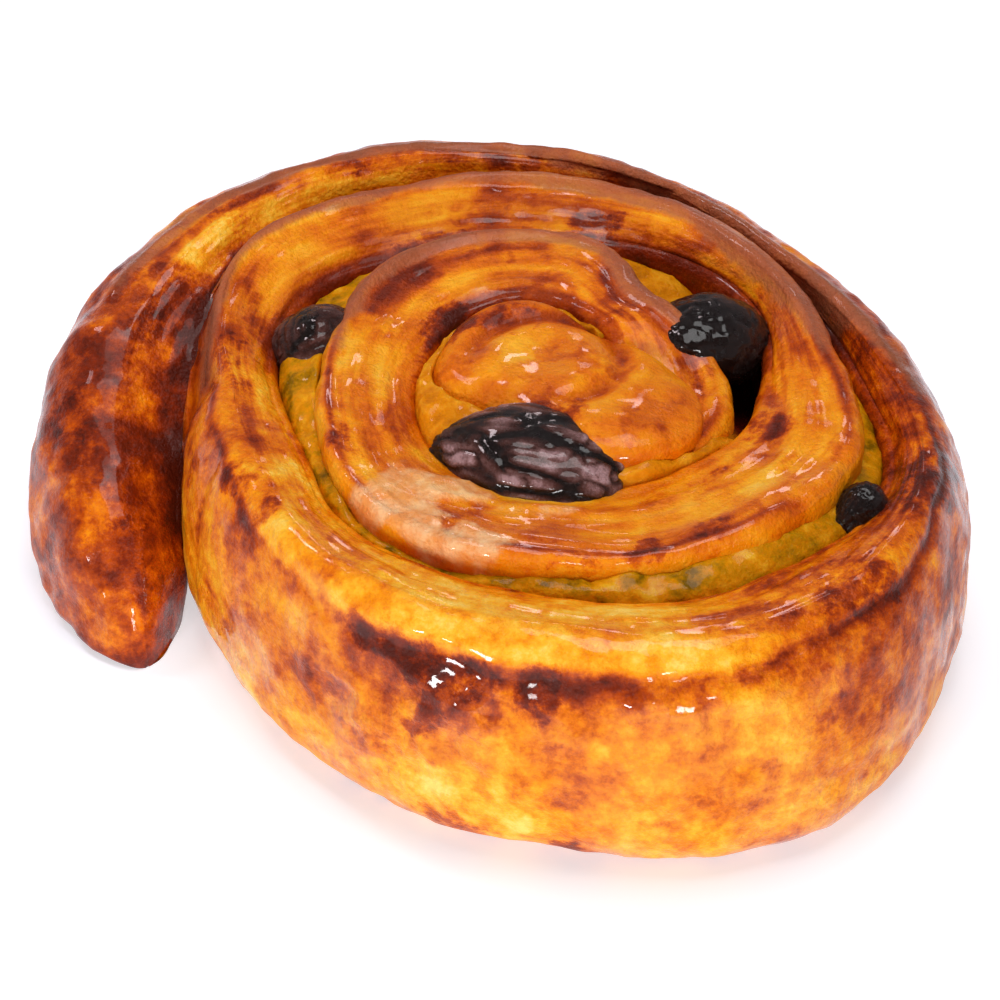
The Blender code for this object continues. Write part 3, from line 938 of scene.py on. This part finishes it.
# %% Raisins
RAISINS = {
    # turn along the roll, distance outside the crease, height, half sizes, tilt in degrees, pale dust,
    # how far from round, and how much narrower one end is
    "raisin_left": (1.109, -1.0, 19.3, (4.2, 3.9, 3.5), (8, -6, 35), 0.8, 0.09, 0),
    "raisin_back": (1.545, -1.3, 19.4, (5.7, 5.3, 4.2), (-24, 4, 10), 0.12, 0.07, 0),
    "raisin_front": (1.835, -1.0, 20.4, (8.7, 5.6, 3.7), (6, 1, -14), 1.25, 0.05, 0.3),
    "raisin_right": (0.680, 0.8, 18.8, (2.7, 2.3, 3.0), (10, 0, 50), 0.3, 0.09, 0),
}
RAISIN_ROWS = 90
RAISIN_COLUMNS = 120


def turned(points, degrees):
    """The points turned about x, then y, then z."""
    x, y, z = np.radians(degrees)
    about_x = np.array([[1, 0, 0], [0, math.cos(x), -math.sin(x)], [0, math.sin(x), math.cos(x)]])
    about_y = np.array([[math.cos(y), 0, math.sin(y)], [0, 1, 0], [-math.sin(y), 0, math.cos(y)]])
    about_z = np.array([[math.cos(z), -math.sin(z), 0], [math.sin(z), math.cos(z), 0], [0, 0, 1]])
    return points @ (about_z @ about_y @ about_x).T


def raisin_skin(name, seed, turn, out, height, half, tilt, dust, uneven, tip):
    """A ball of radius 1 less deep folds and fine wrinkles, with its poles at the ends of its x axis."""
    a = np.linspace(0, np.pi, RAISIN_ROWS + 2)[1:-1, None]
    b = np.linspace(0, 2 * np.pi, RAISIN_COLUMNS, endpoint=False)[None, :]
    ball = np.stack(np.broadcast_arrays(np.cos(a), np.sin(a) * np.cos(b), np.sin(a) * np.sin(b)), axis=-1)
    lengthwise = ball * (0.75, 1, 1)
    deep = folds(lengthwise, 0.55, seed)
    fine = folds(lengthwise, 0.19, seed + 1.3)
    swell = 1 + uneven * lumps(ball, 0.8, seed + 2.1) - 0.035 * deep - 0.035 * fine
    swell = swell + 0.014 * lumps(ball, 0.1, seed)
    pinch = 1 - tip * ease(-ball[..., :1], 0.1, 1.0)
    narrowed = np.concatenate([0 * pinch + 1, pinch, pinch], axis=-1)
    shaped = turned(ball * swell[..., None] * half * narrowed, tilt)
    middle = wind(np.array(turn), crease(turn) + out, height)
    return skin(name + "_skin", shaped + middle, crest=dust * (1 - np.clip(deep + 0.5 * fine, 0, 1)))


raisins = {name: raisin_skin(name, index + 0.4, *RAISINS[name]) for index, name in enumerate(RAISINS)}

# %% [markdown]
# ## Finishes as sums
# Blender builds a finish from nodes. A small class that wraps one output lets the finish be written as a
# sum instead, such as 0.3 + 0.2 * speckle. Every other node comes from one method.


# %% Nodes from expressions
class Wire:
    """One output of a node. Sums, differences and products with it add Math nodes."""

    def __init__(self, finish, socket):
        self.finish = finish
        self.socket = socket

    def _math(self, operation, first, second):
        return self.finish.node("Math", dict(operation=operation), {0: first, 1: second})

    def __add__(self, other):
        return self._math("ADD", self, other)

    def __sub__(self, other):
        return self._math("SUBTRACT", self, other)

    def __rsub__(self, other):
        return self._math("SUBTRACT", other, self)

    def __mul__(self, other):
        return self._math("MULTIPLY", self, other)

    __radd__ = __add__
    __rmul__ = __mul__


class Finish:
    """The nodes of a material, or of the world."""

    def __init__(self, owner):
        self.owner = owner
        owner.use_nodes = True
        self.tree = owner.node_tree
        self.tree.nodes.clear()

    def node(self, kind, settings=None, inputs=None, output=0):
        """Adds one node: its settings first, then the value or wire of each named input."""
        made = self.tree.nodes.new("ShaderNode" + kind)
        for setting, value in (settings or {}).items():
            if setting == "stops":
                ramp = made.color_ramp
                while len(ramp.elements) < len(value):
                    ramp.elements.new(0.5)
                for element, (place, colour) in zip(ramp.elements, value):
                    element.position = place
                    element.color = colour
            else:
                setattr(made, setting, value)
        for key, value in (inputs or {}).items():
            if isinstance(value, Wire):
                self.tree.links.new(value.socket, made.inputs[key])
            else:
                made.inputs[key].default_value = value
        return Wire(self, made.outputs[output]) if made.outputs else None

    def field(self, name):
        """A number that the mesh carries at each point."""
        return self.node("Attribute", dict(attribute_name=name), output="Fac")

    def noise(self, size, detail=3.0, at=None, shift=0.0, rough=0.55):
        """Cloudy noise, 0 to 1, whose patches are about size millimetres across."""
        if at is None:
            at = self.node("TexCoord", output="Object")
        moved = self.node("Mapping", {}, {"Vector": at, "Location": (shift, shift, shift)})
        inputs = {"Vector": moved, "Scale": 1 / (size * MM), "Detail": detail, "Roughness": rough}
        return self.node("TexNoise", {}, inputs)

    def step(self, value, start, end):
        """0 below start, 1 above end, smooth between."""
        settings = dict(interpolation_type="SMOOTHSTEP")
        inputs = {"Value": value, "From Min": start, "From Max": end}
        return self.node("MapRange", settings, inputs)

    def ramp(self, value, stops):
        """The colour at this value on a ramp of (place, colour) stops."""
        return self.node("ValToRGB", dict(stops=stops), {"Fac": value})

    def mix(self, factor, first, second):
        """First where factor is 0, second where it is 1. Both are colours."""
        return self.node("Mix", dict(data_type="RGBA"), {0: factor, 6: first, 7: second}, output=2)

    def relief(self, height, distance, strength):
        """The normal over a height between 0 and 1, which stands for this distance in metres."""
        return self.node("Bump", {}, {"Strength": strength, "Distance": distance, "Height": height})

    def close(self, **inputs):
        """Adds the surface shader, from inputs with underscores for spaces, and the output."""
        values = {key.replace("_", " "): value for key, value in inputs.items()}
        self.node("OutputMaterial", {}, {"Surface": self.node("BsdfPrincipled", {}, values)})
        print(f"{self.owner.name}: {len(self.tree.nodes)} nodes")
        return self.owner


def paint(red, green, blue):
    """A paint chart's colour, 0 to 255, as amounts of light: ((c + 0.055) / 1.055)^2.4 above 0.04."""
    part = np.array([red, green, blue]) / 255
    light = np.where(part <= 0.04045, part / 12.92, ((part + 0.055) / 1.055) ** 2.4)
    return (*light.tolist(), 1.0)


print("middle grey as light:", [round(amount, 2) for amount in paint(128, 128, 128)])

# %% [markdown]
# ## The glazed crust
# Egg wash browns from yellow through amber to mahogany, and that order is a colour ramp over the number
# that the mesh carries. Clouds of noise at three sizes break up the number first, so no edge is clean. A
# photographic texture would carry its own light; the ramp carries only the painted light and shade that the
# browning rules put into the number.

# %% The crust's colour
CRUST_STOPS = [
    (0.00, paint(254, 212, 100)),
    (0.16, paint(252, 184, 44)),
    (0.32, paint(244, 150, 12)),
    (0.48, paint(224, 112, 3)),
    (0.62, paint(182, 70, 2)),
    (0.78, paint(128, 38, 4)),
    (1.00, paint(78, 22, 8)),
]
RUNG_PERIOD = 0.00085


def ladder_marks(finish):
    """Dark rungs across the strip: a sine along it, shaken by noise, inside the ladder's patch."""
    phase = (2 * np.pi / RUNG_PERIOD) * finish.field("along") + 8.0 * finish.noise(1.6)
    rungs = finish.node("Math", dict(operation="SINE"), {0: phase})
    shaken = rungs + 1.6 * (finish.noise(1.2, 4.0, shift=0.01) - 0.5)
    return finish.field("ladder") * finish.step(shaken, -0.1, 0.7)


def crust_level(finish):
    """How brown each point is: the mesh's number, with clouds, grain, layers, scorches and blotches."""
    clouds = 0.80 * (finish.noise(5.0, 6.0, rough=0.62) - 0.5)
    grain = 0.85 * (finish.noise(1.6, 6.0, shift=0.05, rough=0.7) - 0.5)
    run = finish.node("CombineXYZ", {}, {"X": 0.12 * finish.field("along"), "Y": finish.field("around")})
    layers = finish.field("cut") * (finish.noise(1.1, 5.0, at=run, rough=0.65) - 0.5)
    fray = 2.2 * (finish.noise(2.2, 6.0, shift=0.03, rough=0.72) - 0.5) + 0.6 * layers
    scorched = finish.field("scorched")
    scorch = finish.step(scorched + fray, 0.35, 0.85) * finish.step(scorched, 0.0, 0.3)
    blotch = finish.step(finish.noise(3.4, 4.0, shift=0.09, rough=0.6), 0.54, 0.66)
    level = finish.field("baked") + finish.field("crisp") * (clouds + grain) + 0.70 * layers
    return level + 0.27 * scorch + 0.12 * blotch + 0.24 * ladder_marks(finish) + 0.10


def dull_rim_and_reflection(finish):
    """1 on the dull ridges, where the mauve painted reflection goes, with a frayed edge."""
    frayed = finish.field("rim") + 0.9 * (finish.noise(2.0, 5.0, shift=0.08, rough=0.65) - 0.5)
    return finish.step(frayed, 0.30, 0.75)


def cream_film_and_sheen(finish, under):
    """The colour under a film of dried custard, pale pink and veined, which is partly a painted sheen."""
    veins = finish.step(finish.noise(1.6, 4.0, shift=0.07, rough=0.6), 0.36, 0.66)
    # Partly painted sheen: the pale pink of the film stands in for light mirrored by the wet glaze.
    film = finish.mix(veins, paint(238, 158, 88), paint(250, 204, 150))
    frayed = finish.field("creamed") + 1.8 * (finish.noise(2.2, 6.0, shift=0.02, rough=0.7) - 0.5)
    return finish.mix(0.78 * finish.step(frayed, 0.30, 0.90), under, film)


print("colours on the crust's ramp:", len(CRUST_STOPS))

# %% [markdown]
# The apricot glaze is a clear coat: smooth, but with the faint orange-peel of something brushed on. It
# pooled in some places and soaked away in others, so noise says where it shines. A little light also
# passes into the crumb, which is what the subsurface share is for.


# %% The glazed crust
def crust_finish():
    """A browned surface under a patchy clear coat, with a painted mauve reflection on the dull rims and a
    painted sheen in the cream film.
    """
    finish = Finish(bpy.data.materials.new("glazed_crust"))
    rim = dull_rim_and_reflection(finish)
    # Painted reflection: the mauve on the dull rims stands in for the bright room mirrored at a grazing
    # angle.
    browned = finish.mix(0.75 * rim, finish.ramp(crust_level(finish), CRUST_STOPS), paint(168, 98, 66))
    glaze = finish.step(finish.noise(7.0, 4.0, shift=0.06), 0.44, 0.58)
    wrinkled = finish.field("soaked") * finish.noise(1.0, 2.0, shift=0.04)
    peel = finish.noise(1.4, 4.0) + 0.4 * finish.noise(0.35, 2.0) + 1.6 * wrinkled
    return finish.close(
        Base_Color=cream_film_and_sheen(finish, browned),
        Roughness=0.34 + 0.16 * finish.noise(3.0) - 0.16 * glaze,
        Subsurface_Weight=0.06,
        Subsurface_Radius=(0.0030, 0.0012, 0.0004),
        Subsurface_Scale=1.0,
        Coat_Weight=(0.16 + 0.48 * glaze) * (1 - 0.6 * rim) + 0.3 * finish.field("soaked"),
        Coat_Roughness=0.06,
        Coat_IOR=1.4,
        Specular_IOR_Level=0.10,
        Normal=finish.relief(peel, 0.0006, 0.6),
    )


crust = crust_finish()
for piece in (rolled_strip, heart_dough):
    piece.data.materials.append(crust)

# %% [markdown]
# ## The custard's finish
# Baked custard is yellow with a green cast where it is thick and wet, golden near the heart, and dark in
# its pit with painted shade. Two ramps over the same clouds are simpler than two materials with a seam.


# %% Custard
GREENISH_STOPS = [
    (0.34, paint(124, 90, 2)),
    (0.46, paint(194, 132, 4)),
    (0.56, paint(222, 142, 6)),
    (0.70, paint(240, 180, 36)),
]
GOLDEN_STOPS = [
    (0.34, paint(180, 96, 4)),
    (0.50, paint(222, 132, 8)),
    (0.68, paint(244, 172, 40)),
]


def custard_finish():
    """Greenish to golden along the roll, then painted shade in the pit, wet all over."""
    finish = Finish(bpy.data.materials.new("baked_custard"))
    clouds = finish.noise(2.4, 5.0, rough=0.62)
    greenish = finish.ramp(clouds, GREENISH_STOPS)
    golden = finish.ramp(0.5 * clouds + 0.5 * finish.noise(1.8, 5.0, rough=0.65), GOLDEN_STOPS)
    colour = finish.mix(finish.field("golden"), greenish, golden)
    # Painted shade: the hollow round the back raisin is coloured a dark maroon.
    pit_shade = finish.step(finish.field("stained") + 0.6 * (clouds - 0.5), 0.2, 0.5)
    return finish.close(
        Base_Color=finish.mix(pit_shade, colour, paint(72, 12, 5)),
        Roughness=0.14 + 0.2 * clouds,
        Subsurface_Weight=0.2,
        Subsurface_Radius=(0.003, 0.002, 0.0005),
        Subsurface_Scale=1.0,
        Coat_Weight=0.22,
        Coat_Roughness=0.07,
        Coat_IOR=1.4,
        Specular_IOR_Level=0.03,
        Normal=finish.relief(finish.noise(0.9, 4.0), 0.0005, 0.8),
    )


custard_ribbon.data.materials.append(custard_finish())

# %% [markdown]
# ## The raisins' finish
# A raisin is nearly black with a red depth, shiny from the glaze, and dusty violet on its crests. The mesh
# says where the crests are, and noise breaks up the dust on them.


# %% Raisin peel
RAISIN_STOPS = [
    (0.12, paint(18, 7, 5)),
    (0.32, paint(72, 38, 32)),
    (0.46, paint(122, 84, 80)),
    (0.60, paint(186, 148, 150)),
]


def raisin_finish():
    """Dark peel with dust on its crests, under a thin coat."""
    finish = Finish(bpy.data.materials.new("raisin_peel"))
    dust = 0.4 * finish.noise(2.6, 3.0) + 0.6 * finish.noise(0.8, 6.0, shift=0.03, rough=0.75)
    return finish.close(
        Base_Color=finish.ramp(finish.field("crest") * dust, RAISIN_STOPS),
        Roughness=0.16 + 0.2 * finish.noise(1.6),
        Specular_IOR_Level=0.22,
        Coat_Weight=0.42,
        Coat_Roughness=0.05,
        Normal=finish.relief(finish.noise(1.0, 5.0, rough=0.72), 0.0011, 1.0),
    )


peel = raisin_finish()
for piece in raisins.values():
    piece.data.materials.append(peel)

# %% [markdown]
# ## The table's finish and the room
# The table is a pale, dull white that glows a little, so that it stays white right up to the slice. Around
# it the room is bright near the table and dim overhead: the bright part is mirrored only by the steep back
# rims, and the dim part keeps the orange of the crust pure.

# %% Table and room
ROOM_STOPS = [(0.30, (0.36, 0.33, 0.35, 1)), (0.62, (0.10, 0.10, 0.105, 1))]


def floor_finish():
    """A pale, dull surface with a faint cloud in it."""
    finish = Finish(bpy.data.materials.new("pale_table"))
    return finish.close(
        Base_Color=finish.mix(finish.noise(60.0, 2.0), (0.62, 0.66, 0.72, 1), (0.64, 0.68, 0.74, 1)),
        Roughness=0.8,
        Specular_IOR_Level=0.1,
        Emission_Color=(0.97, 0.98, 1, 1),
        Emission_Strength=0.52,
    )


def light_the_room():
    """Light from all round: a ramp over the height that a direction points to."""
    world = bpy.data.worlds.new("room")
    bpy.context.scene.world = world
    room = Finish(world)
    direction = room.node("TexCoord", output="Generated")
    height = room.node("SeparateXYZ", {}, {"Vector": direction}, output="Z")
    light = room.node("Background", {}, {"Color": room.ramp(height, ROOM_STOPS), "Strength": 1.0})
    room.node("OutputWorld", {}, {"Surface": light})


floor.data.materials.append(floor_finish())
light_the_room()
bpy.context.scene.view_settings.view_transform = "Standard"

# %% [markdown]
# ## Tie the skins to the part
# Each skin stands for its solid and rides on the part's one body.

# %% Riding and replacing
for piece in (rolled_strip, heart_dough, custard_ribbon, *raisins.values()):
    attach(piece, "root")
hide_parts("dough")
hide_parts("dough")
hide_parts("custard")
for name, piece in raisins.items():
    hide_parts(name)

# %% [markdown]
# ## Measure and finish
# Both boxes, the solids' and the skins', are put side by side, and the sides of the dressed part are
# printed. The skins may not outgrow the solids.

# %% Sizes and the end
boxes = {"cad": [list(map(float, corner)) for corner in CAD_BOX]}
boxes["scene"] = [list(map(float, corner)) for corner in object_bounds()]
sides = np.subtract(*boxes["scene"][::-1]) / MM
print("sides of the dressed part, in mm:", np.round(sides, 1).tolist())
